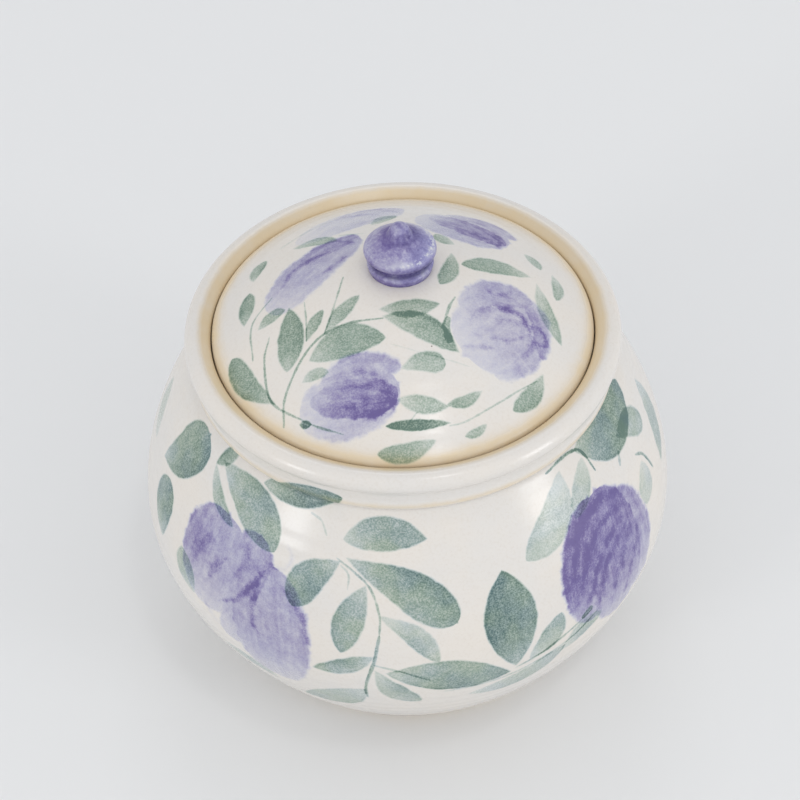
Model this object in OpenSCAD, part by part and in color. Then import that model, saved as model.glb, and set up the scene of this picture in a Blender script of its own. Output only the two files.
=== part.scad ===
// Round lidded stoneware crock: a thrown jar with a rolled lip and a lid gallery,
// a domed lid that drops into the gallery, and a small turned knob on the lid.
// The crock stands on z = 0 with its axis on z. Sizes are in millimetres.

/* [Crock] */
// Diameter of the crock at its widest
belly_d = 150; // [125:1:190]
// Height of the widest ring above the table
belly_z = 57; // [47:1:68]
// Height of the lip's crest above the table
crock_h = 117; // [98:1:140]
// Thickness of the thrown wall
wall = 5.5; // [4.5:0.1:6.6]
// Thickness of the floor
floor_t = 6; // [5:0.5:8]

/* [Foot] */
// Diameter of the foot ring
foot_d = 96; // [80:1:115]
// Width of the foot ring's flat
foot_w = 5; // [4:0.5:8]
// Height of the foot ring's side
foot_h = 3; // [2:0.5:5]
// Depth of the recess inside the foot ring
foot_recess = 2.5; // [1.5:0.1:3.5]

/* [Lip and collar] */
// Outside diameter of the rolled lip
lip_d = 117; // [100:1:122]
// Radius of the lip's roll
lip_roll = 3; // [2.5:0.1:3.6]
// Width of the rim from the lip's outside to the lid
rim_w = 7; // [6:0.1:9]
// Height of the collar, from the lip's crest to the shoulder
collar_h = 12.7; // [12:0.1:16]
// How far the neck at the shoulder stands in from the lip
neck_inset = 3; // [2:0.1:4]
// How far the band under the lip stands in from the lip
band_inset = 1.3; // [0.8:0.1:1.8]

/* [Gallery] */
// Depth of the gallery's ledge below the lip's crest
gallery_depth = 8.5; // [7:0.1:10.5]
// Width of the ledge that the lid rests on
ledge_w = 5; // [4:0.1:7]
// Thickness of the ledge at the throat
ledge_t = 5; // [4:0.1:6]
// Gap between the lid's edge and the gallery's wall
lid_gap = 0.5; // [0.3:0.05:1]

/* [Lid] */
// Height of the lid's upright edge
lid_edge_h = 5.5; // [4.5:0.1:6.6]
// Radius of the round on the lid's upper edge
lid_edge_round = 2.4; // [1.5:0.1:3]
// Height of the knob's seat above the top of the lid's upright edge
lid_rise = 21.6; // [18:0.1:26]
// Thickness of the lid at its crown
lid_t = 5; // [4:0.1:6.5]
// Width of the flat under the lid's edge
lid_flat_w = 7; // [5.5:0.1:9]
// Slope of the dome at its edge, in degrees
lid_edge_slope = 35; // [28:1:40]
// Slope of the dome beside the knob, in degrees
lid_crown_slope = 13; // [8:1:16]

/* [Knob] */
// Diameter of the knob's cap
knob_d = 18.9; // [16:0.1:24]
// Diameter of the knob's base disc
knob_base_d = 17.4; // [14:0.1:20]
// Diameter of the groove between the base disc and the cap
knob_neck_d = 13; // [10:0.1:14]
// Height of the knob
knob_h = 14; // [12:0.1:17]
// Height of the base disc
knob_base_h = 2.6; // [2:0.1:3.2]
// Diameter of the button on top of the cap
button_d = 6.4; // [5:0.1:8]
// Height of the button
button_h = 3.4; // [2.4:0.1:4]

/* [Hidden] */
$fn = 160;

cream = [0.86, 0.85, 0.82];
violet = [0.42, 0.36, 0.60];

// Outer edges are broken by the bevel, and small corners by the fillet.
bevel = 0.8;
fillet = 0.6;

// Slopes where the side leaves the foot ring and where the shoulder leaves the neck, in degrees.
foot_slope = 37;
shoulder_slope = 19;
// Share of its height or width over which each end of a side curve keeps its own direction.
foot_pull = 0.1;
lower_pull = 0.36;
shoulder_pull = 0.47;
neck_pull = 0.15;
floor_pull = 0.3;
// The flat of the floor reaches this share of the foot's radius, and the bend above it starts this far
// outside the foot ring.
floor_flat = 0.6;
floor_corner = 6;
// The recess under the floor narrows upwards by this much.
recess_slant = 1;

// The ridge round the collar stands out from the neck and lies above it.
ridge_out = 1.5;
ridge_rise = 1.9;
// The band under the lip starts this far above the neck, and leans out by this much.
band_rise = 4;
band_lean = 0.5;
// The lip's roll turns between these angles.
roll_start = -42;
roll_end = 130;

// The rim under the lid, inside its flat: its height, how far it leans in, and the slope under the crown.
under_rim_h = 3.5;
under_rim_lean = 0.5;
under_slope = 3;
// The knob's seat on the lid runs a little past the knob's base disc.
seat_edge = 0.4;

// The knob's rounds, its groove, how high up the cap is widest, and how its button flares at the foot.
base_round = 0.9;
groove_h = 1.1;
cap_rise = 0.44;
cap_round = 1.4;
cap_start = -50;
cap_end = 58;
button_flare = 0.5;

belly_r = belly_d / 2;
foot_r = foot_d / 2;
lip_r = lip_d / 2;
neck_r = lip_r - neck_inset;
neck_z = crock_h - collar_h;
band_r = lip_r - band_inset;
gallery_r = lip_r - rim_w;
throat_r = gallery_r - ledge_w;
ledge_z = crock_h - gallery_depth;
floor_z = foot_recess + floor_t;

lid_r = gallery_r - lid_gap;
lid_edge_z = ledge_z + lid_edge_h;
seat_z = lid_edge_z + lid_rise;
seat_r = knob_base_d / 2 + seat_edge;

// Points of a cubic curve after its first point.
function curve(a, b, c, d, n = 20) =
    [for (i = [1:n]) let (t = i / n)
        pow(1 - t, 3) * a + 3 * t * pow(1 - t, 2) * b + 3 * t * t * (1 - t) * c + pow(t, 3) * d];

// Points of an arc about [r, z], both ends included.
function arc(r, z, radius, from, to, n = 8) =
    [for (i = [0:n]) let (a = from + (to - from) * i / n)
        [r + radius * cos(a), z + radius * sin(a)]];

// A point at a distance and an angle from another.
function off(p, distance, angle) = p + distance * [cos(angle), sin(angle)];

// Outside of the crock, from the foot's bevel up to the neck.
function outer_side() =
    let (foot = [foot_r, foot_h],
         belly = [belly_r, belly_z],
         neck = [neck_r, neck_z],
         rise = neck_z - belly_z,
         flare = belly_r - neck_r)
    concat(
        [[foot_r - bevel, 0], [foot_r, bevel], foot],
        curve(foot, off(foot, foot_pull * (belly_z - foot_h), foot_slope),
              belly - [0, lower_pull * (belly_z - foot_h)], belly, 24),
        curve(belly, belly + [0, shoulder_pull * rise],
              off(neck, neck_pull * flare, -shoulder_slope), neck, 24));

// Collar, rolled lip and gallery, from above the neck round to the throat.
function rim() =
    let (neck = [neck_r, neck_z],
         ridge = neck + [ridge_out, ridge_rise],
         band = [band_r - band_lean, neck_z + band_rise],
         half_ridge = [0, ridge_rise / 2])
    concat(
        curve(neck, neck + [ridge_out / 2, 0], ridge - half_ridge, ridge, 6),
        curve(ridge, ridge + half_ridge, band - half_ridge, band, 5),
        [[band_r, crock_h - 2 * lip_roll - bevel]],
        arc(lip_r - lip_roll, crock_h - lip_roll, lip_roll, roll_start, roll_end, 18),
        [[gallery_r, crock_h - lip_roll + fillet],
         [gallery_r, ledge_z + fillet], [gallery_r - fillet, ledge_z],
         [throat_r + bevel, ledge_z], [throat_r, ledge_z - bevel],
         [throat_r, ledge_z - ledge_t]]);

// Inside of the crock, from under the throat down to the middle of the floor.
function inner_side() =
    let (belly = [belly_r - wall, belly_z],
         neck = off([neck_r, neck_z], wall, -90 - shoulder_slope),
         rise = neck[1] - belly_z,
         flare = belly[0] - neck[0])
    concat(
        [neck],
        curve(neck, off(neck, neck_pull * flare, -shoulder_slope),
              belly + [0, shoulder_pull * rise], belly, 24),
        curve(belly, belly - [0, floor_pull * (belly_z - floor_z)],
              [foot_r + floor_corner, floor_z], [foot_r * floor_flat, floor_z], 24),
        [[0, floor_z]]);

module crock_body() {
    color(cream)
        rotate_extrude()
            polygon(concat(
                [[0, foot_recess], [foot_r - foot_w - recess_slant, foot_recess], [foot_r - foot_w, 0]],
                outer_side(),
                rim(),
                inner_side()));
}

// Top of the lid, from its upright edge in to the knob's seat.
function lid_top() =
    let (round_end = 90 - lid_edge_slope,
         start = off([lid_r - lid_edge_round, lid_edge_z], lid_edge_round, round_end),
         seat = [seat_r, seat_z],
         pull = norm(seat - start) / 3)
    concat(
        arc(lid_r - lid_edge_round, lid_edge_z, lid_edge_round, 0, round_end, 8),
        curve(start, off(start, pull, 180 - lid_edge_slope),
              off(seat, pull, -lid_crown_slope), seat, 22));

// Hollow underside of the lid, from its crown out to the flat that rests on the ledge.
function lid_under() =
    let (crown = [0, seat_z - lid_t],
         flat_end = [lid_r - lid_flat_w, ledge_z],
         edge = flat_end + [-under_rim_lean, under_rim_h],
         pull = norm(crown - edge) / 3)
    concat(
        [crown],
        curve(crown, off(crown, pull, -under_slope), off(edge, pull, 180 - lid_edge_slope), edge, 18),
        [flat_end]);

module lid() {
    color(cream)
        rotate_extrude()
            polygon(concat(
                [[lid_r - fillet, ledge_z], [lid_r, ledge_z + fillet]],
                lid_top(),
                [[0, seat_z]],
                lid_under()));
}

module lid_knob() {
    base_r = knob_base_d / 2;
    groove_r = knob_neck_d / 2;
    cap_r = knob_d / 2;
    button_r = button_d / 2;
    base_top = seat_z + knob_base_h;
    cap_z = seat_z + cap_rise * knob_h;
    top_z = seat_z + knob_h;
    base_end = off([base_r - base_round, base_top - base_round], base_round, 80);
    groove = [groove_r, base_top + groove_h];
    cap_top = off([cap_r - cap_round, cap_z], cap_round, cap_end);
    button_foot = [button_r + button_flare, top_z - button_h];
    button_top = [button_r - 1.7, top_z - 0.2];
    color(violet)
        rotate_extrude()
            polygon(concat(
                [[0, seat_z], [base_r - seat_edge, seat_z]],
                arc(base_r - base_round, base_top - base_round, base_round, 0, 80, 5),
                curve(base_end, [groove_r, base_top], groove - [0, 0.7], groove, 5),
                arc(cap_r - cap_round, cap_z, cap_round, cap_start, cap_end, 9),
                curve(cap_top, off(cap_top, 2.4, 90 + cap_end), button_foot + [1.8, -0.4], button_foot, 8),
                curve(button_foot, button_foot + [-0.9, 0.4],
                      [button_r - 0.6, top_z - 0.5], button_top, 7),
                [[0, top_z]]));
}

crock_body();
lid();
lid_knob();
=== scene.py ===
"""A round-bellied stoneware crock with a domed, knobbed lid, painted with leaves and blossoms.

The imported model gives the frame. The three pots of clay (crock, lid and knob) are thrown again here as
finer meshes, and the painting is laid on them stroke by stroke. Sizes in the pottery are in millimetres.
"""

import math

import bpy
import numpy as np
from mathutils import Matrix, Vector


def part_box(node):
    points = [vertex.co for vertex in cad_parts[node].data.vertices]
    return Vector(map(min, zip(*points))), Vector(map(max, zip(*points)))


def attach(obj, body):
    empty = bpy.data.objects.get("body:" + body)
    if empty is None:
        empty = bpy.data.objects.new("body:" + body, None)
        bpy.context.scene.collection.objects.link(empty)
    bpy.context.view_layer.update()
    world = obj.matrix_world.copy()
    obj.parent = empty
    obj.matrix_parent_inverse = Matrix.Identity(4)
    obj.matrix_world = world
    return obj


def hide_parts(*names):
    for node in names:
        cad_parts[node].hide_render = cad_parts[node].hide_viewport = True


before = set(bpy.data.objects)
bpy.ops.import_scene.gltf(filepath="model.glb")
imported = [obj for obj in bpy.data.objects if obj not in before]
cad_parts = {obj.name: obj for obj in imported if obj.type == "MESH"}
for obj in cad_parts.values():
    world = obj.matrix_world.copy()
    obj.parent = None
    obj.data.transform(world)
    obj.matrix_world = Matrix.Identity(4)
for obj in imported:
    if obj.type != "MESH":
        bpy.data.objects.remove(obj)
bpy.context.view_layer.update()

MM = 0.001
# What a layer of strokes holds where nothing is painted.
UNPAINTED = -9.0
# A stroke's half width carries how blunt its tip is, from 0 to 9, in steps of this size.
BLUNT_STEP = 20.0
BLUNT_LEVELS = 9
# A stroke's number carries its strength in its fraction, as this share of it.
STRENGTH_SHARE = 0.9
# A stroke's coordinates are laid past its sides, in half widths and in mm, and past its ends, in mm.
SIDE_REACH = 1.3
SIDE_MARGIN = 1.5
END_MARGIN = 2.5

# ---------------------------------------------------------------- sizes, as in the part's source

belly_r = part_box("crock_body")[1][0] / MM
crock_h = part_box("crock_body")[1][2] / MM
belly_z = 57.0
wall = 5.5
floor_t = 6.0
foot_r = 48.0
foot_w = 5.0
foot_h = 3.0
foot_recess = 2.5
lip_r = 58.5
lip_roll = 3.0
rim_w = 7.0
collar_h = 12.7
neck_inset = 3.0
band_inset = 1.3
gallery_depth = 8.5
ledge_w = 5.0
ledge_t = 5.0
lid_gap = 0.5
lid_edge_h = 5.5
lid_edge_round = 2.4
lid_rise = 21.6
lid_t = 5.0
lid_flat_w = 7.0
lid_edge_slope = 35.0
lid_crown_slope = 13.0
knob_r = 9.45
knob_base_r = 8.7
knob_neck_r = 6.5
knob_h = 14.0
knob_base_h = 2.6
button_r = 3.2
button_h = 3.4
bevel = 0.8
fillet = 0.6
foot_slope = 37.0
shoulder_slope = 19.0
foot_pull = 0.1
lower_pull = 0.36
shoulder_pull = 0.47
neck_pull = 0.15
floor_pull = 0.3
floor_flat = 0.6
floor_corner = 6.0
recess_slant = 1.0
ridge_out = 1.5
ridge_rise = 1.9
band_rise = 4.0
band_lean = 0.5
roll_start = -42.0
roll_end = 130.0
under_rim_h = 3.5
under_rim_lean = 0.5
under_slope = 3.0
seat_edge = 0.4
base_round = 0.9
groove_h = 1.1
cap_rise = 0.44
cap_round = 1.4
cap_start = -50.0
cap_end = 58.0
button_flare = 0.5

neck_r = lip_r - neck_inset
neck_z = crock_h - collar_h
band_r = lip_r - band_inset
gallery_r = lip_r - rim_w
throat_r = gallery_r - ledge_w
ledge_z = crock_h - gallery_depth
floor_z = foot_recess + floor_t
lid_r = gallery_r - lid_gap
lid_edge_z = ledge_z + lid_edge_h
seat_z = lid_edge_z + lid_rise
seat_r = knob_base_r + seat_edge


# The lid's edge swells by this much, and tan shows on its top within about this distance of the edge.
lid_edge_swell = 0.2
tan_share = 0.75
tan_reach = 2.6
# Number of slices that each pot is turned in.
crock_slices = 288
lid_slices = 240
knob_slices = 128

# ---------------------------------------------------------------- outlines

def point(r, z):
    return np.array([r, z], float)


def off(p, distance, degrees):
    a = math.radians(degrees)
    return p + distance * point(math.cos(a), math.sin(a))


def line(a, b, step=1.0):
    n = max(1, math.ceil(np.linalg.norm(b - a) / step))
    return [a + (b - a) * i / n for i in range(n + 1)]


def curve(a, b, c, d, step=1.2):
    n = max(4, math.ceil(np.linalg.norm(d - a) * 1.1 / step))
    t = np.linspace(0, 1, n + 1)[:, None]
    return list((1 - t) ** 3 * a + 3 * t * (1 - t) ** 2 * b + 3 * t * t * (1 - t) * c + t ** 3 * d)


def arc(centre, radius, start, end, step=0.45):
    n = max(5, math.ceil(radius * math.radians(abs(end - start)) / step))
    return [off(centre, radius, start + (end - start) * i / n) for i in range(n + 1)]


class Outline:
    """A pot's outline from axis to axis, with how thin the glaze and how bare the clay is at each point."""

    def __init__(self):
        self.points = []
        self.thin = []
        self.bare = []
        self.part = []

    def add(self, part, points, thin=0.0, bare=0.0):
        """thin is one value, its values at both ends, or a function of the distance from the first point."""
        ends = thin if isinstance(thin, tuple) else (thin, thin)
        for i, p in enumerate(points):
            if self.points and np.linalg.norm(p - self.points[-1]) < 1e-3:
                continue
            self.points.append(p)
            if callable(thin):
                self.thin.append(thin(np.linalg.norm(p - points[0])))
            else:
                self.thin.append(ends[0] + (ends[1] - ends[0]) * i / max(1, len(points) - 1))
            self.bare.append(bare)
            self.part.append(part)


def crock_outline():
    foot_inside = foot_r - foot_w
    foot = point(foot_r, foot_h)
    belly = point(belly_r, belly_z)
    neck = point(neck_r, neck_z)
    ridge = neck + point(ridge_out, ridge_rise)
    band = point(band_r - band_lean, neck_z + band_rise)
    rise = neck_z - belly_z
    flare = belly_r - neck_r
    half_ridge = point(0, ridge_rise / 2)
    o = Outline()
    o.add("recess", line(point(0, foot_recess), point(foot_inside - recess_slant, foot_recess), 3), 0.2, 1)
    o.add("foot", line(o.points[-1], point(foot_inside, 0.3)), 0.2, 1)
    o.add("foot", curve(o.points[-1], point(foot_inside + 0.1, 0), point(foot_inside + 0.2, 0),
                        point(foot_inside + fillet, 0), 0.3), 0.2, 1)
    o.add("foot", line(o.points[-1], point(foot_r - bevel, 0)), 0.2, 1)
    o.add("foot", arc(point(foot_r - bevel, bevel), bevel, -90, 0, 0.3), 0.2, 1)
    o.add("foot", line(point(foot_r, bevel), foot, 0.5), 0.2, 1)
    o.add("side", curve(foot, off(foot, foot_pull * (belly_z - foot_h), foot_slope),
                        belly - point(0, lower_pull * (belly_z - foot_h)), belly), (0.3, 0))
    o.add("side", curve(belly, belly + point(0, shoulder_pull * rise),
                        off(neck, neck_pull * flare, -shoulder_slope), neck))
    o.add("side", curve(neck, neck + point(ridge_out / 2, 0), ridge - half_ridge, ridge, 0.4), (0, 0.6))
    o.add("side", curve(ridge, ridge + half_ridge, band - half_ridge, band, 0.4), (0.6, 0))
    roll = point(lip_r - lip_roll, crock_h - lip_roll)
    under_lip = off(roll, lip_roll, roll_start)
    o.add("side", curve(band, band + point(0.15, 1.2), under_lip - point(0.9, 1.0), under_lip, 0.5))
    crest = 80
    o.add("lip", arc(roll, lip_roll, roll_start, crest), (0.0, 0.05))
    o.add("lip", arc(roll, lip_roll, crest, roll_end), (0.05, 0.8))
    inner_lip = o.points[-1]
    wall_top = point(gallery_r, crock_h - lip_roll + 0.2)
    o.add("gallery", curve(inner_lip, off(inner_lip, 1.0, 220), wall_top + point(0, 0.9), wall_top, 0.35),
          (0.75, 1))
    o.add("gallery", line(wall_top, point(gallery_r, ledge_z + fillet)), (0.9, 0.6))
    o.add("gallery", arc(point(gallery_r - fillet, ledge_z + fillet), fillet, 0, -90, 0.3), 1, 0.5)
    o.add("ledge", line(point(gallery_r - fillet, ledge_z), point(throat_r + bevel, ledge_z)), 0.5, 1)
    o.add("ledge", arc(point(throat_r + bevel, ledge_z - bevel), bevel, 90, 180, 0.3), 0.8, 0.4)
    under_ledge = point(throat_r, ledge_z - ledge_t)
    inner_neck = off(neck, wall, -90 - shoulder_slope)
    inner_belly = point(belly_r - wall, belly_z)
    inner_rise = inner_neck[1] - belly_z
    o.add("inside", line(point(throat_r, ledge_z - bevel), under_ledge + point(0, 1)), (0.7, 0.3))
    o.add("inside", curve(under_ledge + point(0, 1), under_ledge, under_ledge + point(0.4, -0.3),
                          under_ledge + point(1.3, -0.8), 0.4), 0.3)
    o.add("inside", line(o.points[-1], inner_neck))
    inner_flare = inner_belly[0] - inner_neck[0]
    o.add("inside", curve(inner_neck, off(inner_neck, neck_pull * inner_flare, -shoulder_slope),
                          inner_belly + point(0, shoulder_pull * inner_rise), inner_belly, 2))
    o.add("inside", curve(inner_belly, inner_belly - point(0, floor_pull * (belly_z - floor_z)),
                          point(foot_r + floor_corner, floor_z), point(foot_r * floor_flat, floor_z), 2))
    o.add("inside", line(o.points[-1], point(0, floor_z), 3))
    return o


def tan_rim(distance):
    """How thin the glaze lies on the lid's top, away from its edge."""
    return tan_share * math.exp(-distance / tan_reach)


def lid_outline():
    centre = point(lid_r - lid_edge_round, lid_edge_z)
    start = off(centre, lid_edge_round, 90 - lid_edge_slope)
    seat = point(seat_r, seat_z)
    pull = np.linalg.norm(seat - start) / 3
    crown = point(0, seat_z - lid_t)
    flat_end = point(lid_r - lid_flat_w, ledge_z)
    edge = flat_end + point(-under_rim_lean, under_rim_h)
    under_pull = np.linalg.norm(crown - edge) / 3
    o = Outline()
    o.add("under", curve(crown, off(crown, under_pull, -under_slope),
                         off(edge, under_pull, 180 - lid_edge_slope), edge, 2), 0.1)
    o.add("under", line(edge, flat_end), (0.3, 0.8))
    o.add("flat", line(flat_end, point(lid_r - fillet, ledge_z)), 0.5, 1)
    o.add("edge", arc(point(lid_r - fillet, ledge_z + fillet), fillet, -90, 0, 0.3), 0.6, 1)
    o.add("edge", line(point(lid_r, ledge_z + fillet), point(lid_r, lid_edge_z)), (0.6, 0.7))
    o.add("edge", arc(centre, lid_edge_round, 0, 90 - lid_edge_slope, 0.35), (0.7, 0.75))
    o.add("top", curve(start, off(start, pull, 180 - lid_edge_slope),
                       off(seat, pull, -lid_crown_slope), seat), tan_rim)
    o.add("seat", line(seat, point(0, seat_z), 1.5), 0.1)
    return o


def knob_outline():
    base_top = seat_z + knob_base_h
    cap = point(knob_r - cap_round, seat_z + cap_rise * knob_h)
    cap_top = off(cap, cap_round, cap_end)
    cap_under = off(cap, cap_round, cap_start)
    top_z = seat_z + knob_h
    groove = point(knob_neck_r, base_top + groove_h)
    button_foot = point(button_r + button_flare, top_z - button_h)
    base_corner = point(knob_base_r - base_round, base_top - base_round)
    # On the knob these values set the violet wash, not thin glaze: negative ones darken it, positive ones
    # lighten it, and on the cap's round they also let the painted highlight flecks show.
    o = Outline()
    o.add("base", line(point(0, seat_z), point(knob_base_r - seat_edge, seat_z)))
    o.add("base", line(o.points[-1], base_corner + point(base_round, 0), 0.4), (-1.0, -0.2))
    o.add("base", arc(base_corner, base_round, 0, 80, 0.25), (-0.2, 0.1))
    o.add("base", curve(o.points[-1], point(knob_neck_r, base_top), groove - point(0, 0.7), groove, 0.3),
          (0, -1.3))
    o.add("neck", curve(groove, groove + point(0, 0.4), off(cap_under, 0.9, 220), cap_under, 0.3),
          (-1.3, -0.7))
    o.add("cap", arc(cap, cap_round, cap_start, cap_end, 0.3), (-0.7, 0.3))
    o.add("cap", curve(cap_top, off(cap_top, 2.4, 90 + cap_end), button_foot + point(1.8, -0.4),
                       button_foot, 0.4), (0.3, -0.8))
    o.add("cap", curve(button_foot, button_foot + point(-0.9, 0.4), point(button_r - 0.4, top_z - 0.5),
                       point(button_r - 1.7, top_z - 0.15), 0.3), (-0.8, 0.1))
    o.add("cap", curve(o.points[-1], point(button_r - 2.1, top_z), point(0.5, top_z), point(0, top_z), 0.4),
          (0.1, -0.6))
    return o


# ---------------------------------------------------------------- throwing the pots

class Pot:
    """A thrown pot: its outline turned round the axis, a little uneven, and ready to be painted."""

    def __init__(self, outline, slices):
        self.outline = outline
        self.slices = slices
        self.rows = np.array(outline.points[1:-1])
        self.poles = [outline.points[0], outline.points[-1]]
        self.part = np.array(outline.part[1:-1])
        steps = np.linalg.norm(np.diff(self.rows, axis=0), axis=1)
        self.along = np.concatenate([[0], np.cumsum(steps)])
        self.angle = np.arange(slices) * 2 * math.pi / slices
        self.r = np.repeat(self.rows[:, :1], slices, 1)
        self.z = np.repeat(self.rows[:, 1:], slices, 1)
        self.layers = {}
        self.strokes = 0
        self.grit = np.zeros((len(self.rows), slices))

    def push(self, parts, amount):
        """Moves the named parts out along their own normal, fading to nothing at their ends."""
        tangent = np.gradient(self.rows, axis=0)
        tangent /= np.linalg.norm(tangent, axis=1)[:, None]
        inside = np.isin(self.part, parts).astype(float)
        fade = np.convolve(inside, np.ones(9) / 9, "same") * inside
        moved = amount(self.along[:, None], self.angle[None, :]) * fade[:, None]
        self.r += moved * tangent[:, 1:]
        self.z -= moved * tangent[:, :1]

    def build(self, name):
        n = self.slices
        count = len(self.rows)
        x = self.r * np.sin(self.angle)
        y = -self.r * np.cos(self.angle)
        places = np.stack([x, y, self.z], -1).reshape(-1, 3).tolist()
        places += [[0, 0, self.poles[0][1]], [0, 0, self.poles[1][1]]]
        row = np.arange(count - 1)[:, None] * n
        this = np.arange(n)
        after = (this + 1) % n
        quads = np.stack(np.broadcast_arrays(row + this, row + after, row + n + after, row + n + this), -1)
        faces = quads.reshape(-1, 4).tolist()
        last = (count - 1) * n
        faces += np.stack([after, this, np.full(n, count * n)], -1).tolist()
        faces += np.stack([last + this, last + after, np.full(n, count * n + 1)], -1).tolist()
        mesh = bpy.data.meshes.new(name)
        mesh.from_pydata((np.array(places) * MM).tolist(), [], faces)
        mesh.shade_smooth()
        thin = self.outline.thin
        bare = self.outline.bare
        coats = {
            "thin_glaze": [*np.repeat(thin[1:-1], n), thin[0], thin[-1]],
            "bare_clay": [*np.repeat(bare[1:-1], n), bare[0], bare[-1]],
            "paint_grit": [*self.grit.ravel(), 0.0, 0.0],
        }
        for label, values in coats.items():
            coat = mesh.attributes.new(label, "FLOAT", "POINT")
            coat.data.foreach_set("value", np.array(values, np.float32))
        corners = (count - 1) * n * 4
        for label, layer in self.layers.items():
            data = np.zeros((corners + 6 * n, 4), np.float32)
            data[:, 0] = UNPAINTED
            data[:corners] = layer.reshape(-1, 4)
            mesh.attributes.new(label, "FLOAT_COLOR", "CORNER").data.foreach_set("color", data.ravel())
        made = bpy.data.objects.new(name, mesh)
        bpy.context.collection.objects.link(made)
        return made

    # ---- painting: each stroke's own coordinates are laid on the faces under it

    def clean_layer(self, kind, touched):
        """The first layer of this kind of stroke whose faces here are still unpainted."""
        number = 1
        while True:
            label = f"{kind}_{number}"
            if label not in self.layers:
                blank = np.zeros((len(self.rows) - 1, self.slices, 4, 4), np.float32)
                blank[..., 0] = UNPAINTED
                self.layers[label] = blank
            if (self.layers[label][touched, 0, 0] == UNPAINTED).all():
                return self.layers[label]
            number += 1

    def brush(self, kind, centre, path, width, strength, blunt=0.3):
        """One brush stroke. path is in mm to the right of and above centre, on the pot's skin."""
        self.strokes += 1
        x, y, near = self.sheet(centre)
        line_points = smooth(np.array(path, float))
        u, v, length = beside_line(line_points, x, y)
        half = width / 2
        v = v / half
        past_end = np.maximum(-u, u - 1) * length
        close = near & (np.abs(v) < SIDE_REACH + SIDE_MARGIN / half) & (past_end < END_MARGIN)
        next_one = np.roll(close, -1, 1)
        touched = close[:-1] | close[1:] | next_one[:-1] | next_one[1:]
        touched &= self.paint_rows()[:-1, None]
        layer = self.clean_layer(kind, touched)
        look = np.full_like(u, self.strokes + STRENGTH_SHARE * min(strength, 1))
        # The paint thickens the skin over a plain oval, fading at its edge.
        inner = half * (1.9 * np.sqrt(np.clip(u * (1 - u), 0, 1)) - np.abs(v))
        covered = np.clip(inner / 1.5 + 0.3, 0, 1) * min(strength, 1) * near
        self.grit = np.maximum(self.grit, covered * (self.paint_rows()[:, None]))
        body = np.full_like(u, half + BLUNT_STEP * round(BLUNT_LEVELS * blunt))
        values = np.stack([u, v, body, look], -1)
        spun = np.roll(values, -1, 1)
        corners = np.stack([values[:-1], spun[:-1], spun[1:], values[1:]], 2)
        layer[touched] = corners[touched]

    def leaf(self, root, tip, width, strength, bow, blunt):
        """A leaf from root to tip, both places on the pot. bow is its bend to the left, as a share."""
        centre = (np.array(root, float) + tip) / 2
        if abs(root[0] - tip[0]) > 180:
            centre[0] += 180
        a = self.offset(centre, root)
        b = self.offset(centre, tip)
        side = np.array([a[1] - b[1], b[0] - a[0]])
        self.brush("leaf", centre, [a, (a + b) / 2 + bow * side, b], width, strength, blunt)

    def stem(self, places, width, strength):
        centre = np.mean(places, 0)
        self.brush("stem", centre, [self.offset(centre, p) for p in places], width, strength)


def smooth(points, steps=10):
    """Points on a smooth line through the given ones."""
    p = np.vstack([2 * points[0] - points[1], points, 2 * points[-1] - points[-2]])
    made = []
    for a, b, c, d in zip(p[:-3], p[1:-2], p[2:-1], p[3:]):
        t = np.linspace(0, 1, steps, endpoint=False)[:, None]
        cubic = 3 * b - a - 3 * c + d
        made.append(b + 0.5 * t * (c - a + t * (2 * a - 5 * b + 4 * c - d + t * cubic)))
    return np.vstack([*made, points[-1:]])


def beside_line(line_points, x, y):
    """How far along the line (0 to 1) and how far to its left each place is, and the line's length."""
    ways = np.diff(line_points, axis=0)
    sizes = np.linalg.norm(ways, axis=1)
    starts = np.concatenate([[0], np.cumsum(sizes)])
    length = starts[-1]
    nearest = np.full(x.shape, np.inf)
    u = np.zeros(x.shape)
    v = np.zeros(x.shape)
    for i, (p, way, size) in enumerate(zip(line_points, ways, sizes)):
        way = way / size
        run = (x - p[0]) * way[0] + (y - p[1]) * way[1]
        side = (y - p[1]) * way[0] - (x - p[0]) * way[1]
        low = -np.inf if i == 0 else 0
        high = np.inf if i == len(ways) - 1 else size
        held = np.clip(run, low, high)
        gap = np.hypot(run - held, side) + 1e-3 * np.maximum(0, np.abs(held - size / 2) - size / 2)
        closer = gap < nearest
        nearest = np.where(closer, gap, nearest)
        u = np.where(closer, (starts[i] + held) / length, u)
        v = np.where(closer, np.where(run == held, side, np.copysign(gap, side)), v)
    return u, v, length


class Jar(Pot):
    """The crock. A place on it is (degrees round from the front, height in mm)."""

    def paint_rows(self):
        return np.isin(self.part, ["side", "lip"])

    def skin(self, height):
        """Distance along the outline and radius at a height on the outside."""
        rows = self.part == "side"
        heights = self.rows[rows, 1]
        height = min(height, heights.max())
        return [float(np.interp(height, heights, v[rows])) for v in (self.along, self.rows[:, 0])]

    def offset(self, centre, place):
        along, r = self.skin(place[1])
        turn = (place[0] - centre[0] + 180) % 360 - 180
        return np.array([math.radians(turn) * r, along - self.skin(centre[1])[0]])

    def sheet(self, centre):
        turn = (self.angle - math.radians(centre[0]) + math.pi) % (2 * math.pi) - math.pi
        x = turn * self.rows[:, :1]
        y = np.repeat(self.along[:, None] - self.skin(centre[1])[0], self.slices, 1)
        return x, y, np.abs(turn) * np.ones_like(y) < 1.4


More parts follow.
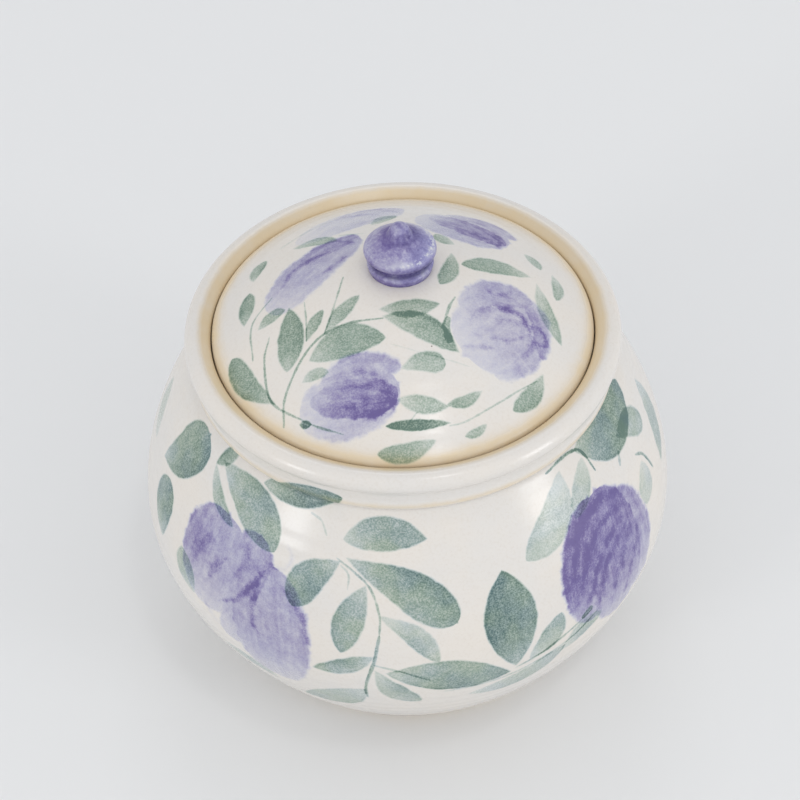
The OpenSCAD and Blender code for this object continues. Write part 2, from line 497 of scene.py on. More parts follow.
class Cover(Pot):
    """The lid. A place on it is (degrees round from the front, distance from the axis in mm)."""

    def paint_rows(self):
        return np.isin(self.part, ["top", "seat", "edge"])

    def reach(self):
        """Distance of each row from the axis, along the skin."""
        return self.along[-1] - self.along + self.rows[-1, 0]

    def flat(self, place):
        rows = np.isin(self.part, ["top", "seat"])
        rho = np.interp(place[1], self.rows[rows, 0][::-1], self.reach()[rows][::-1])
        turn = math.radians(place[0])
        return np.array([rho * math.sin(turn), -rho * math.cos(turn)])

    def offset(self, centre, place):
        return self.flat(place) - self.flat(centre)

    def sheet(self, centre):
        rho = self.reach()[:, None]
        middle = self.flat(centre)
        x = rho * np.sin(self.angle) - middle[0]
        y = -rho * np.cos(self.angle) - middle[1]
        return x, y, self.paint_rows()[:, None] & np.ones_like(x, bool)


crock = Jar(crock_outline(), crock_slices)
lid = Cover(lid_outline(), lid_slices)
knob = Pot(knob_outline(), knob_slices)


def throwing_rings(pitch, depth, seed):
    """Shallow spiral rings from the potter's fingers, deeper in some stretches than in others."""
    def rings(s, a):
        fade = 0.65 + 0.35 * np.sin(s / 11.0 + seed) * np.cos(s / 4.3 + 2 * seed)
        sway = 0.12 * np.sin(a + seed) + 0.07 * np.sin(2 * a + 2.1 * seed)
        return depth * fade * np.sin(2 * math.pi * (s / pitch) + a) + sway
    return rings


crock.push(["side"], throwing_rings(5.2, 0.07, 1.3))
crock.push(["inside"], throwing_rings(7.0, 0.3, 0.4))
lid.push(["top"], throwing_rings(4.6, 0.04, 2.2))
lid.push(["edge"], lambda s, a: lid_edge_swell * np.ones_like(s + a))
lid.push(["under"], throwing_rings(5.0, 0.2, 0.9))

# ---------------------------------------------------------------- the painting on the crock

# Twice the angle of the line that the painting is mirrored about, at the pot's right-hand side.
mirror_turn = 184
# Leaves nearer the front than this are repeated at the back.
front_half = 72


def mirrored(place):
    """The front's painting is carried on round the back, the other way round."""
    return mirror_turn - place[0], place[1]


# Leaves: root and tip as (degrees, height), width, strength, bow to the left, and how blunt the tip is.
crock_leaves = [
    ((-16, 97), (4, 98), 9.5, 0.6, 0.1, 0.1),
    ((-15, 93), (9, 76), 12, 0.66, 0.07, 0.8),
    ((-16, 92), (-26, 77), 9.5, 0.66, -0.12, 0.6),
    ((-10, 87), (-15, 66), 8.5, 0.58, -0.04, 0.3),
    ((-7, 79), (5, 64), 6.5, 0.45, 0.1, 0.5),
    ((-8, 66), (-21, 58), 6, 0.58, 0.05, 0.1),
    ((-6, 60), (20, 53), 13, 0.64, 0.03, 0.0),
    ((-8, 61), (1, 44), 8, 0.5, -0.06, 0.4),
    ((-10, 52), (-26, 34), 12, 0.5, 0.05, 0.1),
    ((21, 55), (20, 87), 15, 0.8, 0.0, 0.1),
    ((24, 56), (32, 68), 8, 0.5, -0.1, 0.3),
    ((49, 103), (79, 102), 15, 0.75, -0.14, 0.3),
    ((42, 102), (26, 87), 11, 0.42, 0.14, 0.3),
    ((50, 101), (41, 90), 7, 0.42, 0.05, 0.3),
    ((64, 96.5), (77, 89), 8.5, 0.5, 0.12, 0.8),
    ((87, 94), (78, 73), 10, 0.5, 0.1, 0.1),
    ((68, 85), (64, 74), 9, 0.35, 0.05, 0.4),
    ((-76, 84), (-63, 102), 15, 0.72, -0.1, 0.9),
    ((-67, 65), (-69, 83), 12, 0.7, 0.06, 0.8),
    ((-52, 107), (-56, 99), 4.5, 0.62, 0.1, 0.2),
    ((-54, 101), (-32, 89), 12.5, 0.6, 0.1, 0.5),
    ((-56, 99), (-44, 89), 4.5, 0.5, -0.1, 0.3),
    ((-40, 102.5), (-17, 107.5), 9.5, 0.75, -0.02, 0.4),
    ((-52, 60), (-58, 72), 9, 0.5, 0.06, 0.1),
    ((-46, 45), (-31, 42), 6, 0.4, 0.1, 0.2),
    ((11, 45), (33, 54), 9, 0.45, -0.1, 0.2),
    ((32, 52), (43, 58), 7, 0.45, 0.1, 0.2),
    ((-85, 80), (-95, 92), 9, 0.35, 0.1, 0.3),
]
crock_stems = [
    ([(38, 103), (44, 103.6), (49, 103.2), (51, 101.5), (52, 96)], 0.9, 0.75),
    ([(67, 88), (70, 85), (72, 78)], 1.0, 0.6),
    ([(62, 94), (60, 91)], 1.2, 0.4),
    ([(40, 63), (37, 61)], 2.2, 0.75),
    ([(-17, 92.5), (-13, 90), (-9, 86), (-7, 79), (-7, 73)], 0.8, 0.5),
    ([(-7, 73), (-8, 65), (-10, 54), (-10, 46)], 1.1, 0.6),
    ([(-16, 91), (-14, 89), (-14, 85)], 0.7, 0.35),
    ([(21, 54), (31, 58), (40, 62)], 1.0, 0.5),
    ([(-25, 101), (-22, 100), (-20, 97)], 0.7, 0.3),
    ([(-8, 63), (-3, 61), (3, 57)], 0.8, 0.35),
    ([(6, 50), (18, 51), (32, 55), (42, 60)], 1.0, 0.4),
]

for root, tip, width, strength, bow, blunt in crock_leaves:
    crock.leaf(root, tip, width, strength, bow, blunt)
    if abs(root[0]) < front_half and abs(tip[0]) < front_half:
        crock.leaf(mirrored(root), mirrored(tip), width, strength, -bow, blunt)
for places, width, strength in crock_stems:
    crock.stem(places, width, strength)
    crock.stem([mirrored(place) for place in places], width, strength)


def blossom(pot, centre, washes, folds):
    """A loose blossom. washes are broad wet strokes and folds are dark thin ones, in mm about its centre."""
    for path, width, strength in washes:
        pot.brush("petal", centre, path, width, strength)
    for path, width, strength in folds:
        pot.brush("fold", centre, path, width, strength)


two_lobes = (
    [
        ([(-18, -13), (-13, 4), (-10, 20)], 26, 0.54),
        ([(-11, -8), (-3, 6), (1, 20)], 17, 0.55),
        ([(9, -29), (8, -8), (4, 13)], 25, 0.53),
        ([(-7, -19), (-1, -9), (4, 5)], 14, 0.48),
        ([(-6, -6), (3, 0), (12, 9)], 13, 0.48),
    ],
    [
        ([(-21, -1), (-19, 6), (-13, 11)], 5, 0.22),
        ([(-15, 2), (-10, 5), (-8, 8)], 1.6, 0.25),
        ([(-15, -5), (-13, -1), (-8, 6)], 1.8, 0.2),
        ([(-9, -7), (-3, -2), (1, 4), (4.5, 11)], 1.8, 0.5),
        ([(3.5, 10), (2.5, 0), (3, -8), (6, -10)], 1.6, 0.36),
        ([(-17, -10), (-13, -14), (-8, -17)], 2.2, 0.18),
        ([(9, 9), (15, 4), (18, -1), (19, -7)], 2.0, 0.26),
        ([(3, 14), (6, 13), (10, 14), (11, 18), (9, 21)], 1.2, 0.3),
        ([(-5, 4), (-1, 12), (-4, 19)], 3.0, 0.16),
    ],
)
ragged_bud = (
    [
        ([(-10, -19), (-10, -1), (-2, 18)], 18, 0.8),
        ([(2, -26), (1, -5), (1, 18)], 25, 0.74),
        ([(11, -24), (12, -6), (8, 13)], 15, 0.56),
    ],
    [
        ([(12, 11), (0, 15), (-9, 10), (-15, -1)], 3.2, 0.3),
        ([(14, 8), (1, 9), (-8, 4), (-14, -7)], 3.2, 0.26),
        ([(12, 5), (2, 4), (-6, -2), (-12, -13)], 2.4, 0.3),
        ([(10, 3), (3, 0), (-4, -5), (-8, -16)], 3.0, 0.26),
        ([(13, 4), (6, -4), (0, -12), (-3, -21)], 2.4, 0.24),
        ([(14, 6), (12, -4), (6, -14), (2, -24)], 2.0, 0.22),
        ([(-13, 8), (-6, 14), (5, 16)], 2.4, 0.3),
    ],
)
blossom(crock, (-37, 73), *two_lobes)
blossom(crock, (48, 76), *ragged_bud)
blossom(crock, (148, 73), *two_lobes)
blossom(crock, (222, 78), *ragged_bud)

# ---------------------------------------------------------------- the painting on the lid

# Leaves: root and tip as (degrees, distance from the axis), width, strength, bow and bluntness.
lid_leaves = [
    ((-45, 34), (-11, 22.5), 9.5, 0.64, 0.1, 0.2),
    ((-18, 17), (29, 29), 7.5, 0.64, 0.08, 0.0),
    ((-23, 15.5), (37, 16), 5.5, 0.58, -0.06, 0.1),
    ((-50, 39), (-78, 30), 8, 0.72, -0.05, 0.0),
    ((-46, 46), (-72, 47), 7, 0.7, 0.1, 0.7),
    ((-48, 27), (-50, 14), 4.5, 0.55, 0.03, 0.1),
    ((-53, 31), (-62, 23), 4, 0.6, 0.05, 0.3),
    ((-82, 42), (-99, 41), 5.5, 0.68, 0.0, 0.2),
    ((-105, 41), (-118, 41.5), 5, 0.6, 0.1, 0.6),
    ((-76, 39), (-78, 31), 4.5, 0.56, 0.1, 0.3),
    ((-42, 39), (-34, 34), 3.6, 0.45, 0.1, 0.3),
    ((-35, 47), (-31, 46), 2.6, 0.85, 0.0, 0.2),
    ((115, 15), (56, 12), 5, 0.6, 0.1, 0.5),
    ((98, 35), (97, 16), 6.5, 0.6, -0.06, 0.4),
    ((95, 36), (69, 44), 5.5, 0.48, -0.05, 0.1),
    ((104, 42), (89, 41), 4, 0.5, 0.1, 0.3),
    ((54, 44), (36, 46), 5.5, 0.6, 0.1, 0.3),
    ((26, 46), (18, 47), 2.6, 0.5, 0.1, 0.3),
    ((-2, 30), (20, 30.5), 6, 0.52, 0.1, 0.8),
    ((-3, 37), (16, 40), 5, 0.52, -0.05, 0.1),
    ((30, 39), (15, 39.5), 3.4, 0.58, 0.1, 0.2),
    ((15, 43.5), (-7, 43), 3.2, 0.95, 0.02, 0.4),
    ((9, 46.5), (-9, 49), 5.5, 0.6, 0.1, 0.4),
    ((-161, 23), (-179, 28), 5, 0.5, 0.1, 0.4),
    ((126, 18), (148, 18), 4.5, 0.5, 0.1, 0.3),
    ((-124, 35), (-134, 23), 5, 0.55, 0.1, 0.3),
    ((115, 37), (105, 39), 4, 0.5, 0.1, 0.3),
]
lid_stems = [
    ([(-39, 49.7), (-44, 44), (-48, 36), (-49, 29), (-43, 23), (-28, 19), (-16, 17.5)], 0.9, 0.6),
    ([(-69, 37), (-61, 41), (-48, 46), (-36, 46), (-28, 46), (-20, 46)], 0.8, 0.6),
    ([(-90, 34), (-80, 40), (-65, 43)], 0.7, 0.5),
    ([(-48, 27), (-57, 21), (-83, 15)], 0.7, 0.5),
    ([(-53, 31), (-62, 28), (-76, 26)], 0.6, 0.45),
    ([(14, 44), (20, 44), (33, 43), (41, 43), (50, 44)], 0.6, 0.4),
    ([(27, 22), (42, 18), (54, 17)], 0.9, 0.55),
    ([(27, 26), (30, 22), (36, 20)], 2.2, 0.5),
    ([(0, 43), (4, 40)], 0.6, 0.35),
    ([(-125, 40), (-143, 38), (-152, 37)], 0.6, 0.4),
    ([(-139, 25), (-152, 19)], 0.6, 0.35),
    ([(-8, 24), (12, 27), (30, 33)], 0.5, 0.16),
]
for root, tip, width, strength, bow, blunt in lid_leaves:
    lid.leaf(root, tip, width, strength, bow, blunt)
for places, width, strength in lid_stems:
    lid.stem(places, width, strength)

round_rose = (
    [
        ([(-11, -9), (-1, 0), (9, 9)], 25, 0.42),
        ([(-12, 4), (-3, 11), (9, 12)], 10, 0.52),
        ([(3, 13), (10, 8), (11, -6)], 7, 0.58),
        ([(-3, -14), (3, -9), (10, -4)], 9, 0.42),
    ],
    [
        ([(-10, 1), (-6, 5), (-1, 6.5), (3, 6.5)], 1.8, 0.28),
        ([(-2, 6.5), (2, 7), (5, 6), (7, 3), (8, -0.5)], 1.8, 0.5),
        ([(-3, 3), (3, 3.5), (6, 1)], 3.2, 0.2),
        ([(-5, 13), (-3, 11), (0, 12), (3, 14)], 1.3, 0.35),
        ([(9.5, 4.5), (12, 2), (12, -1), (10, -2)], 1.6, 0.45),
        ([(-12, -7), (-3, -6)], 1.0, 0.25),
        ([(-8, -3), (1, -3), (6, -0.5)], 1.1, 0.28),
        ([(7, 1), (8, -3), (5, -8)], 2.6, 0.2),
    ],
)
half_open = (
    [
        ([(-15, -2), (0, -1), (12, 3)], 19, 0.44),
        ([(-9, 5), (2, 9), (13, 7)], 7, 0.5),
        ([(-12, 1), (3, 0), (12, 0)], 12, 0.72),
    ],
    [
        ([(-5, 6), (2, 7), (7, 5), (10, 1)], 2.2, 0.2),
        ([(-5, 3), (3, 3), (11, 0)], 1.8, 0.24),
        ([(-4, -2), (4, -2), (11, -1.5)], 1.8, 0.24),
        ([(8.5, 1.5), (10.5, -1), (10.5, -4)], 1.6, 0.6),
        ([(2, -6), (6, -5), (9, -3.5)], 1.4, 0.4),
    ],
)
long_bud = (
    [
        ([(-10, -17), (0, -6), (15, 5)], 17, 0.5),
        ([(-6, -7), (3, 1), (15, 6)], 9, 0.62),
    ],
    [
        ([(-7, -9), (-4, -3), (3, 0), (9, 0)], 2.0, 0.38),
        ([(5, -9), (9, -6), (12, -4)], 1.5, 0.25),
        ([(0, 5), (7, 6), (14, 2)], 2.4, 0.25),
    ],
)


def turned(flower, degrees, share):
    """The same blossom turned and with a share of its strength, for the ones at the back."""
    a = math.radians(degrees)
    spin = np.array([[math.cos(a), -math.sin(a)], [math.sin(a), math.cos(a)]])
    return [[((np.array(path) @ spin.T).tolist(), width, share * strength) for path, width, strength in part]
            for part in flower]


blossom(lid, (57, 31), *round_rose)
blossom(lid, (-20, 38), *half_open)
blossom(lid, (-112, 27), *long_bud)
blossom(lid, (140, 29), *turned(half_open, -25, 1.0))
blossom(lid, (-158, 36), *turned(long_bud, -20, 0.6))

# ---------------------------------------------------------------- node helpers

def linear(red, green, blue):
    """A colour picked as red, green and blue from 0 to 255, in linear light."""
    shares = [c / 255 for c in (red, green, blue)]
    return [s / 12.92 if s < 0.04045 else ((s + 0.055) / 1.055) ** 2.4 for s in shares]


class Bench:
    """Short ways to put nodes into one tree. Each returns the output socket."""

    def __init__(self, tree):
        self.tree = tree

    def put(self, kind, inputs=(), **settings):
        node = self.tree.nodes.new("ShaderNode" + kind)
        for name, value in settings.items():
            setattr(node, name, value)
        for name, value in dict(inputs).items():
            self.feed(node.inputs[name], value)
        return node

    def feed(self, socket, value):
        if isinstance(value, bpy.types.NodeSocket):
            self.tree.links.new(value, socket)
        elif socket.type == "RGBA" and len(value) == 3:
            socket.default_value = (*value, 1)
        else:
            socket.default_value = value

    def math(self, operation, *values):
        return self.put("Math", enumerate(values), operation=operation).outputs[0]

    def total(self, *values):
        result = values[0]
        for value in values[1:]:
            result = self.math("ADD", result, value)
        return result

    def times(self, *values):
        result = values[0]
        for value in values[1:]:
            result = self.math("MULTIPLY", result, value)
        return result

    def ease(self, value, start, end, low=0.0, high=1.0):
        """low up to start, high from end, and a soft step between them."""
        inputs = {"Value": value, "From Min": start, "From Max": end, "To Min": low, "To Max": high}
        return self.put("MapRange", inputs, interpolation_type="SMOOTHSTEP", clamp=False).outputs[0]

    def noise(self, places, size, detail=2.0, roughness=0.5, distortion=0.0):
        """Soft noise from 0 to 1 with lumps of about that size."""
        inputs = {"Vector": places, "Scale": 1 / size, "Detail": detail, "Roughness": roughness}
        inputs["Distortion"] = distortion
        return self.put("TexNoise", inputs).outputs["Fac"]

    def mix(self, share, a, b, blend="MIX"):
        node = self.put("Mix", data_type="RGBA", blend_type=blend)
        self.feed(node.inputs[0], share)
        self.feed(node.inputs[6], a)
        self.feed(node.inputs[7], b)
        return node.outputs[2]

    def ramp(self, value, stops):
        node = self.put("ValToRGB", {"Fac": value})
        bar = node.color_ramp
        bar.interpolation = "B_SPLINE" if len(stops) > 4 else "LINEAR"
        while len(bar.elements) < len(stops):
            bar.elements.new(0.5)
        for element, (place, colour) in zip(bar.elements, stops):
            element.position = place
            element.color = (*colour, 1)
        return node.outputs[0]

    def mixed_vector(self, x, y, z):
        return self.put("CombineXYZ", {"X": x, "Y": y, "Z": z}).outputs[0]

    def coat(self, label):
        """A value that is stored on the mesh."""
        return self.put("Attribute", attribute_name=label, attribute_type="GEOMETRY").outputs["Fac"]

    def in_mm(self):
        """The piece's own coordinates in millimetres."""
        places = self.put("TexCoord").outputs["Object"]
        inputs = {"Vector": places, "Scale": 1 / MM}
        return self.put("VectorMath", inputs, operation="SCALE").outputs[0]


def group(name, inputs, outputs):
    """A new node group. Gives back its bench, the sockets of its inputs and those of its outputs."""
    tree = bpy.data.node_groups.new(name, "ShaderNodeTree")
    for label, (kind, value) in inputs.items():
        socket = tree.interface.new_socket(label, in_out="INPUT", socket_type="NodeSocket" + kind)
        if value is not None:
            socket.default_value = value
    for label, kind in outputs.items():
        tree.interface.new_socket(label, in_out="OUTPUT", socket_type="NodeSocket" + kind)
    bench = Bench(tree)
    entry = tree.nodes.new("NodeGroupInput")
    leaving = tree.nodes.new("NodeGroupOutput")
    return bench, entry.outputs, leaving.inputs


def use(bench, tree, **inputs):
    node = bench.tree.nodes.new("ShaderNodeGroup")
    node.node_tree = tree
    for name, value in inputs.items():
        bench.feed(node.inputs[name.replace("_", " ").capitalize()], value)
    return node.outputs


# ---------------------------------------------------------------- shared effects

def brush_stroke_group():
    """One brush stroke's density, from its own coordinates: along it, across it and half its width."""
    number = ("Float", 0.0)
    inputs = {
        "Stroke": ("Vector", None), "Look": number, "Root": number, "Tip": number, "Soft": number,
        "Ragged": number, "Wet edge": number, "Pale root": number, "Streaks": number, "Speckle": number,
        "Wobble": number, "Grain": number,
    }
    b, given, out = group("brush stroke", inputs, {"Density": "Float"})
    parts = b.put("SeparateXYZ", {"Vector": given["Stroke"]}).outputs
    u = parts[0]
    v = parts[1]
    blunt = b.math("FLOOR", b.math("DIVIDE", parts[2], BLUNT_STEP))
    half = b.math("MODULO", parts[2], BLUNT_STEP)
    number_of = b.math("FLOOR", given["Look"])
    strength = b.math("DIVIDE", b.math("FRACT", given["Look"]), STRENGTH_SHARE)
    dice = b.put("TexWhiteNoise", {"W": number_of}, noise_dimensions="1D").outputs["Color"]
    dice = b.put("SeparateColor", {"Color": dice}).outputs
    root = b.times(given["Root"], b.math("MULTIPLY_ADD", dice[0], 0.3, 0.85))
    tip = b.times(given["Tip"], b.math("MULTIPLY_ADD", blunt, -0.085, 1.25))
    inside = b.math("MINIMUM", b.math("MAXIMUM", u, 0.0005), 0.9995)
    both = b.math("ADD", root, tip)
    swell = b.times(b.math("POWER", inside, root), b.math("POWER", b.math("SUBTRACT", 1.0, inside), tip))
    widest = b.math("DIVIDE", root, both)
    peak = b.times(b.math("POWER", widest, root), b.math("POWER", b.math("SUBTRACT", 1.0, widest), tip))
    outline = b.math("DIVIDE", swell, peak)
    across = b.math("ABSOLUTE", v)
    to_edge = b.times(b.math("SUBTRACT", outline, across), half)
    to_edge = b.math("ADD", to_edge, b.times(given["Wobble"], given["Ragged"]))
    past_end = b.math("MAXIMUM", b.math("SUBTRACT", b.math("ABSOLUTE", b.math("SUBTRACT", u, 0.5)), 0.5), 0.0)
    to_edge = b.math("SUBTRACT", to_edge, b.times(past_end, 30.0))
    soft = b.times(given["Soft"], b.ease(half, 0.4, 3.0, 0.5, 1.0))
    cover = b.ease(to_edge, b.times(soft, -0.5), soft)
    wet = b.times(b.ease(to_edge, 1.6, 0.1), given["Wet edge"])
    paling = b.math("SUBTRACT", 1.0, b.times(given["Pale root"], b.ease(u, 0.5, -0.05)))
    shading = b.math("MULTIPLY_ADD", v, b.math("MULTIPLY_ADD", dice[2], 0.4, -0.2), 1.0)
    places = b.mixed_vector(b.times(u, 3.0), b.times(v, half, 0.6), b.times(number_of, 5.17))
    streak = b.math("SUBTRACT", b.noise(places, 1.0, 3.0, 0.55, 0.6), 0.5)
    streak = b.math("ADD", streak, b.times(given["Wobble"], 0.3))
    grain = b.math("SUBTRACT", given["Grain"], 0.5)
    mottle = b.total(1.0, wet, b.times(streak, given["Streaks"]), b.times(grain, given["Speckle"]))
    b.feed(out["Density"], b.math("MAXIMUM", b.times(cover, strength, paling, shading, mottle), 0.0))
    return b.tree


def stoneware_glaze_group():
    """Creamy glaze over speckled clay: tan where it runs thin, bare clay where it was wiped off."""
    inputs = {
        "Places": ("Vector", None), "Thin": ("Float", 0.0), "Bare": ("Float", 0.0), "Paint": ("Float", 0.0),
        "Grit": ("Float", 0.0),
        "Glaze": ("Color", None), "Tan": ("Color", None), "Clay": ("Color", None), "Iron": ("Color", None),
    }
    outputs = {"Colour": "Color", "Roughness": "Float", "Height": "Float"}
    b, given, out = group("stoneware glaze", inputs, outputs)
    places = given["Places"]
    cloud = b.noise(places, 21.0, 3.0, 0.55)
    blotch = b.noise(places, 6.5, 3.0, 0.6, 0.4)
    fine = b.noise(places, 0.75, 2.0, 0.6)
    peel = b.noise(places, 4.2, 2.0, 0.45)
    thick = b.mix(b.ease(cloud, 0.3, 0.7), (0.965, 0.975, 0.99), (1.0, 0.985, 0.965))
    body_colour = b.mix(1.0, given["Glaze"], thick, "MULTIPLY")
    dust = b.mix(b.ease(fine, 0.45, 0.75), (1.0, 1.0, 1.0), (0.965, 0.955, 0.94))
    body_colour = b.mix(1.0, body_colour, dust, "MULTIPLY")
    thin = b.total(given["Thin"], b.math("MULTIPLY_ADD", blotch, 0.5, -0.25))
    broken = b.times(b.ease(thin, 0.12, 1.0), b.ease(given["Thin"], 0.0, 0.25))
    body_colour = b.mix(broken, body_colour, given["Tan"])
    spots = b.put("TexVoronoi", {"Vector": places, "Scale": 1 / 7.5, "Randomness": 1.0})
    chosen = b.put("SeparateColor", {"Color": spots.outputs["Color"]}).outputs
    size = b.math("MULTIPLY_ADD", chosen[1], 0.035, 0.012)
    spot = b.ease(spots.outputs["Distance"], size, b.times(size, 0.4))
    spot = b.times(spot, b.math("GREATER_THAN", chosen[0], 0.86), 0.75)
    body_colour = b.mix(spot, body_colour, given["Iron"])
    wiped = b.ease(b.math("MULTIPLY_ADD", b.math("SUBTRACT", blotch, 0.5), 0.5, given["Bare"]), 0.35, 0.6)
    clay = b.mix(b.ease(fine, 0.35, 0.7), given["Clay"], given["Tan"])
    b.feed(out["Colour"], b.mix(wiped, body_colour, clay))
    gloss = b.total(0.19, b.times(cloud, 0.08), b.times(broken, 0.1),
                    b.times(given["Paint"], b.times(fine, 0.3)))
    b.feed(out["Roughness"], b.math("ADD", b.times(gloss, b.math("SUBTRACT", 1.0, wiped)),
                                    b.times(wiped, 0.85)))
    glaze_skin = b.total(b.times(peel, 0.05), b.times(fine, 0.006), b.times(spot, -0.02))
    paint_skin = b.times(given["Grit"], fine, 0.05)
    b.feed(out["Height"], b.total(glaze_skin, paint_skin, b.times(wiped, fine, 0.12)))
    return b.tree


brush_stroke = brush_stroke_group()
stoneware_glaze = stoneware_glaze_group()

# ---------------------------------------------------------------- glazes and paints

cream = linear(225, 220, 212)
tan = linear(221, 201, 165)
bare_clay = linear(196, 178, 152)
iron = linear(72, 52, 40)
glaze_ior = 1.5


def washed(colour, over=(226, 222, 213)):
    """What a paint leaves of the light of the glaze under it, from how it looks over the plain glaze."""
    return [min(1.0, c / g) for c, g in zip(linear(*colour), linear(*over))]


white = (1.0, 1.0, 1.0)
sage = [
    (0, white), (0.3, washed((200, 206, 196))),
    (0.62, washed((150, 168, 152))), (1, washed((88, 116, 102))),
]
teal = [
    (0, white), (0.3, washed((197, 205, 202))),
    (0.62, washed((140, 160, 155))), (1, washed((76, 106, 106))),
]
violet = [
    (0, white), (0.25, washed((205, 206, 216))), (0.5, washed((170, 169, 193))),
    (0.75, washed((130, 121, 169))), (1, washed((90, 77, 138))),
]
slate = [
    (0, white), (0.25, washed((196, 200, 218))),
    (0.6, washed((140, 138, 184))), (1, washed((74, 66, 122))),
]

# How each kind of stroke is brushed.
brushing = {
    "leaf": dict(root=0.9, tip=0.75, soft=0.6, ragged=0.22,
                 wet_edge=0.14, pale_root=0.4, streaks=0.4, speckle=0.5),
    "stem": dict(root=0.12, tip=0.2, soft=0.5, ragged=0.15,
                 wet_edge=0.0, pale_root=0.1, streaks=0.6, speckle=0.5),
    "petal": dict(root=0.42, tip=0.42, soft=1.3, ragged=0.7,
                  wet_edge=0.2, pale_root=0.45, streaks=0.7, speckle=0.25),
    "fold": dict(root=0.5, tip=0.45, soft=3.2, ragged=0.5,
                 wet_edge=0.0, pale_root=0.5, streaks=1.0, speckle=0.4),
}


def new_material(name):
    """A new material with its bench and its shader."""
    made = bpy.data.materials.new(name)
    made.use_nodes = True
    return made, Bench(made.node_tree), made.node_tree.nodes["Principled BSDF"]


def fire(b, shader, colour, glaze):
    """Joins a colour and a glaze's gloss and skin to the shader."""
    b.feed(shader.inputs["Base Color"], colour)
    b.feed(shader.inputs["Roughness"], glaze["Roughness"])
    b.feed(shader.inputs["Normal"], b.put("Bump", {"Height": glaze["Height"], "Distance": MM}).outputs[0])
    shader.inputs["IOR"].default_value = glaze_ior


def painted_glaze(name, pot, greens):
    """The painted stoneware of the crock and the lid."""
    made, b, shader = new_material(name)
    places = b.in_mm()
    wobble = b.math("MULTIPLY_ADD", b.noise(places, 2.8, 3.0, 0.6), 4.0, -2.0)
    grain = b.ease(b.noise(places, 0.45, 2.0, 0.6), 0.3, 0.7)
    density = {"leaf": 0.0, "petal": 0.0, "fold": 0.0, "stem": 0.0}
    for label in sorted(pot.layers):
        kind = label.split("_")[0]
        stroke = b.put("Attribute", attribute_name=label, attribute_type="GEOMETRY").outputs
        laid = use(b, brush_stroke, stroke=stroke["Vector"], look=stroke["Alpha"], wobble=wobble, grain=grain,
                   **brushing[kind])
        # Wet petal washes run into one another, and all other strokes lie over what is under them.
        density[kind] = b.math("MAXIMUM" if kind == "petal" else "ADD", laid["Density"], density[kind])
    green = b.math("MINIMUM", b.math("ADD", density["leaf"], density["stem"]), 1.0)
    purple = b.math("MINIMUM", b.math("ADD", density["petal"], density["fold"]), 1.0)
    paint = b.math("MINIMUM", b.total(green, purple), 1.0)
    thin = b.coat("thin_glaze")
    bare = b.coat("bare_clay")
    grit = b.coat("paint_grit")
    glaze = use(b, stoneware_glaze, places=places, thin=thin, bare=bare, paint=paint, grit=grit,
                glaze=cream, tan=tan, clay=bare_clay, iron=iron)
    leaf_light = b.mix(b.ease(b.noise(places, 9.0, 2.0), 0.35, 0.65),
                       b.ramp(green, greens[0]), b.ramp(green, greens[1]))
    colour = b.mix(1.0, glaze["Colour"], leaf_light, "MULTIPLY")
    colour = b.mix(1.0, colour, b.ramp(purple, violet), "MULTIPLY")
    fire(b, shader, colour, glaze)
    return made


def knob_glaze():
    """The knob: violet rubbed over cream, darker in the groove and round the button, with pale flecks of
    painted highlight on the right of the cap's round.
    """
    made, b, shader = new_material("violet_knob_glaze")
    places = b.in_mm()
    thin = b.coat("thin_glaze")
    bare = b.coat("bare_clay")
    cloud = b.noise(places, 5.5, 3.0, 0.6, 0.8)
    flecks = b.noise(places, 0.9, 3.0, 0.7)
    right_side = b.ease(b.put("SeparateXYZ", {"Vector": places}).outputs[0], -5.0, 7.0)
    wash = b.total(0.66, b.times(b.math("SUBTRACT", cloud, 0.5), 0.8),
                   b.times(b.math("SUBTRACT", flecks, 0.5), 0.7))
    wash = b.math("SUBTRACT", wash, b.times(thin, 0.3))
    # Painted highlight: pale flecks cut from the violet wash on the right side of the knob, on the cap's
    # round where the outline's value is positive.
    painted_highlight_flecks = b.times(b.ease(flecks, 0.47, 0.6), b.ease(thin, 0.0, 0.25), right_side, 0.55)
    wash = b.math("MINIMUM", b.math("MAXIMUM", b.math("SUBTRACT", wash, painted_highlight_flecks), 0.12), 1.0)
    glaze = use(b, stoneware_glaze, places=places, thin=0.0, bare=bare, paint=wash, grit=0.5,
                glaze=cream, tan=tan, clay=bare_clay, iron=iron)
    paint = b.mix(b.times(right_side, b.ease(cloud, 0.2, 0.6)), b.ramp(wash, violet), b.ramp(wash, slate))
    fire(b, shader, b.mix(1.0, glaze["Colour"], paint, "MULTIPLY"), glaze)
    return made


# ---------------------------------------------------------------- the pieces

crock_piece = crock.build("painted_crock")
crock_piece.data.materials.append(painted_glaze("painted_crock_glaze", crock, (sage, teal)))
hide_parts("crock_body")
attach(crock_piece, "crock")

lid_piece = lid.build("painted_lid")
lid_piece.data.materials.append(painted_glaze("painted_lid_glaze", lid, (sage, sage)))
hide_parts("lid")
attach(lid_piece, "lid")

knob_piece = knob.build("turned_knob")
knob_piece.data.materials.append(knob_glaze())
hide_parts("lid_knob")
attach(knob_piece, "lid")

# ---------------------------------------------------------------- the table, light and camera

# The sweep's reach to the front and sides, where its back wall stands and how high, in metres.
sweep_reach = 9.0
sweep_back = 3.0
sweep_top = 3.0
sweep_bend = 1.0
# The lights face a point this high on the pot's axis, in metres.
light_aim_z = 0.08


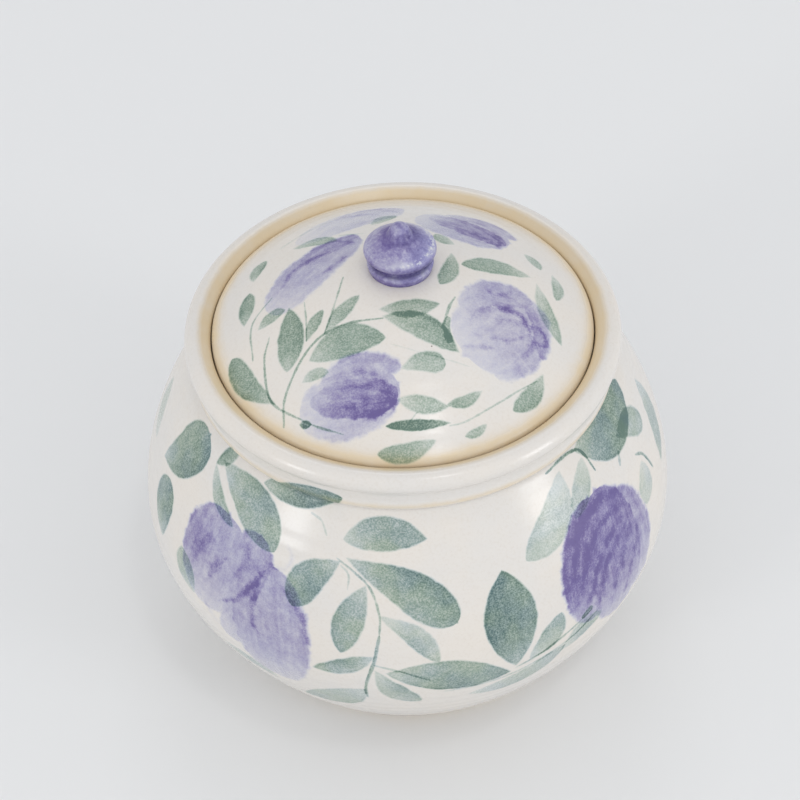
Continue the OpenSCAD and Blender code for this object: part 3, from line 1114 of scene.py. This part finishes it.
def sweep():
    """A pale tabletop that curves up behind the pot, far away."""
    bend_y = sweep_back - sweep_bend
    turns = np.linspace(0.1, math.pi / 2, 12)
    rows = [(-sweep_reach, 0.0), (-1.0, 0.0), (bend_y, 0.0)]
    rows += [(bend_y + sweep_bend * math.sin(a), sweep_bend - sweep_bend * math.cos(a)) for a in turns]
    rows += [(sweep_back, sweep_top)]
    across = np.linspace(-sweep_reach, sweep_reach, 9)
    verts = [(float(x), float(y), float(z)) for y, z in rows for x in across]
    n = len(across)
    faces = [(i * n + j, i * n + j + 1, (i + 1) * n + j + 1, (i + 1) * n + j)
             for i in range(len(rows) - 1) for j in range(n - 1)]
    mesh = bpy.data.meshes.new("pale_sweep")
    mesh.from_pydata(verts, [], faces)
    mesh.shade_smooth()
    made = bpy.data.objects.new("pale_sweep", mesh)
    bpy.context.collection.objects.link(made)
    paper, b, shader = new_material("pale_paper")
    places = b.put("TexCoord").outputs["Object"]
    cloud = b.noise(places, 0.6, 2.0)
    shade = b.mix(cloud, linear(227, 228, 230), linear(230, 231, 231))
    b.feed(shader.inputs["Base Color"], shade)
    shader.inputs["Roughness"].default_value = 0.9
    shader.inputs["Specular IOR Level"].default_value = 0.2
    made.data.materials.append(paper)


def window(name, degrees, height, distance, width, tall, power):
    """A soft rectangular light that faces the pot, round to its right by degrees. Sizes are in metres."""
    lamp = bpy.data.lights.new(name, "AREA")
    lamp.shape = "RECTANGLE"
    lamp.size = width
    lamp.size_y = tall
    lamp.energy = power
    made = bpy.data.objects.new(name, lamp)
    a = math.radians(degrees)
    place = Vector((distance * math.sin(a), -distance * math.cos(a), height))
    made.location = place
    made.rotation_euler = (place - Vector((0, 0, light_aim_z))).to_track_quat("Z", "Y").to_euler()
    bpy.context.collection.objects.link(made)


sweep()
window("left_window", -50, 0.48, 1.5, 0.34, 0.6, 3.8)
window("right_window", 60, 0.36, 1.4, 0.34, 0.7, 4.2)
window("high_window", 180, 1.35, 0.9, 0.6, 0.12, 1.2)
window("ceiling_light", 27, 1.5, 0.6, 0.12, 0.12, 1.1)

world = bpy.data.worlds.new("pale_room")
world.use_nodes = True
world.node_tree.nodes["Background"].inputs["Color"].default_value = (0.985, 0.99, 1.0, 1)
world.node_tree.nodes["Background"].inputs["Strength"].default_value = 0.87
bpy.context.scene.world = world
bpy.context.scene.view_settings.view_transform = "Standard"


# The camera looks down by the tilt at a point inside the pot. Angles are in degrees, the rest in mm.
camera_tilt = 46.36
camera_roll = -2.04
camera_aim = (-1.37, 0, 85.2)
camera_distance = 503.9
camera_lens = 81
camera_sensor = 36


def set_camera():
    tilt = math.radians(camera_tilt)
    roll = math.radians(camera_roll)
    aim = Vector(camera_aim) * MM
    back = Vector((0, -math.cos(tilt), math.sin(tilt)))
    right = Vector((1, 0, 0))
    up = Vector((0, math.sin(tilt), math.cos(tilt)))
    rolled_right = math.cos(roll) * right + math.sin(roll) * up
    rolled_up = -math.sin(roll) * right + math.cos(roll) * up
    turn = Matrix((rolled_right, rolled_up, back)).transposed().to_4x4()
    camera = bpy.data.cameras.new("camera")
    camera.lens = camera_lens
    camera.sensor_width = camera_sensor
    made = bpy.data.objects.new("camera", camera)
    made.matrix_world = Matrix.Translation(aim + camera_distance * MM * back) @ turn
    bpy.context.collection.objects.link(made)
    bpy.context.scene.camera = made


set_camera()
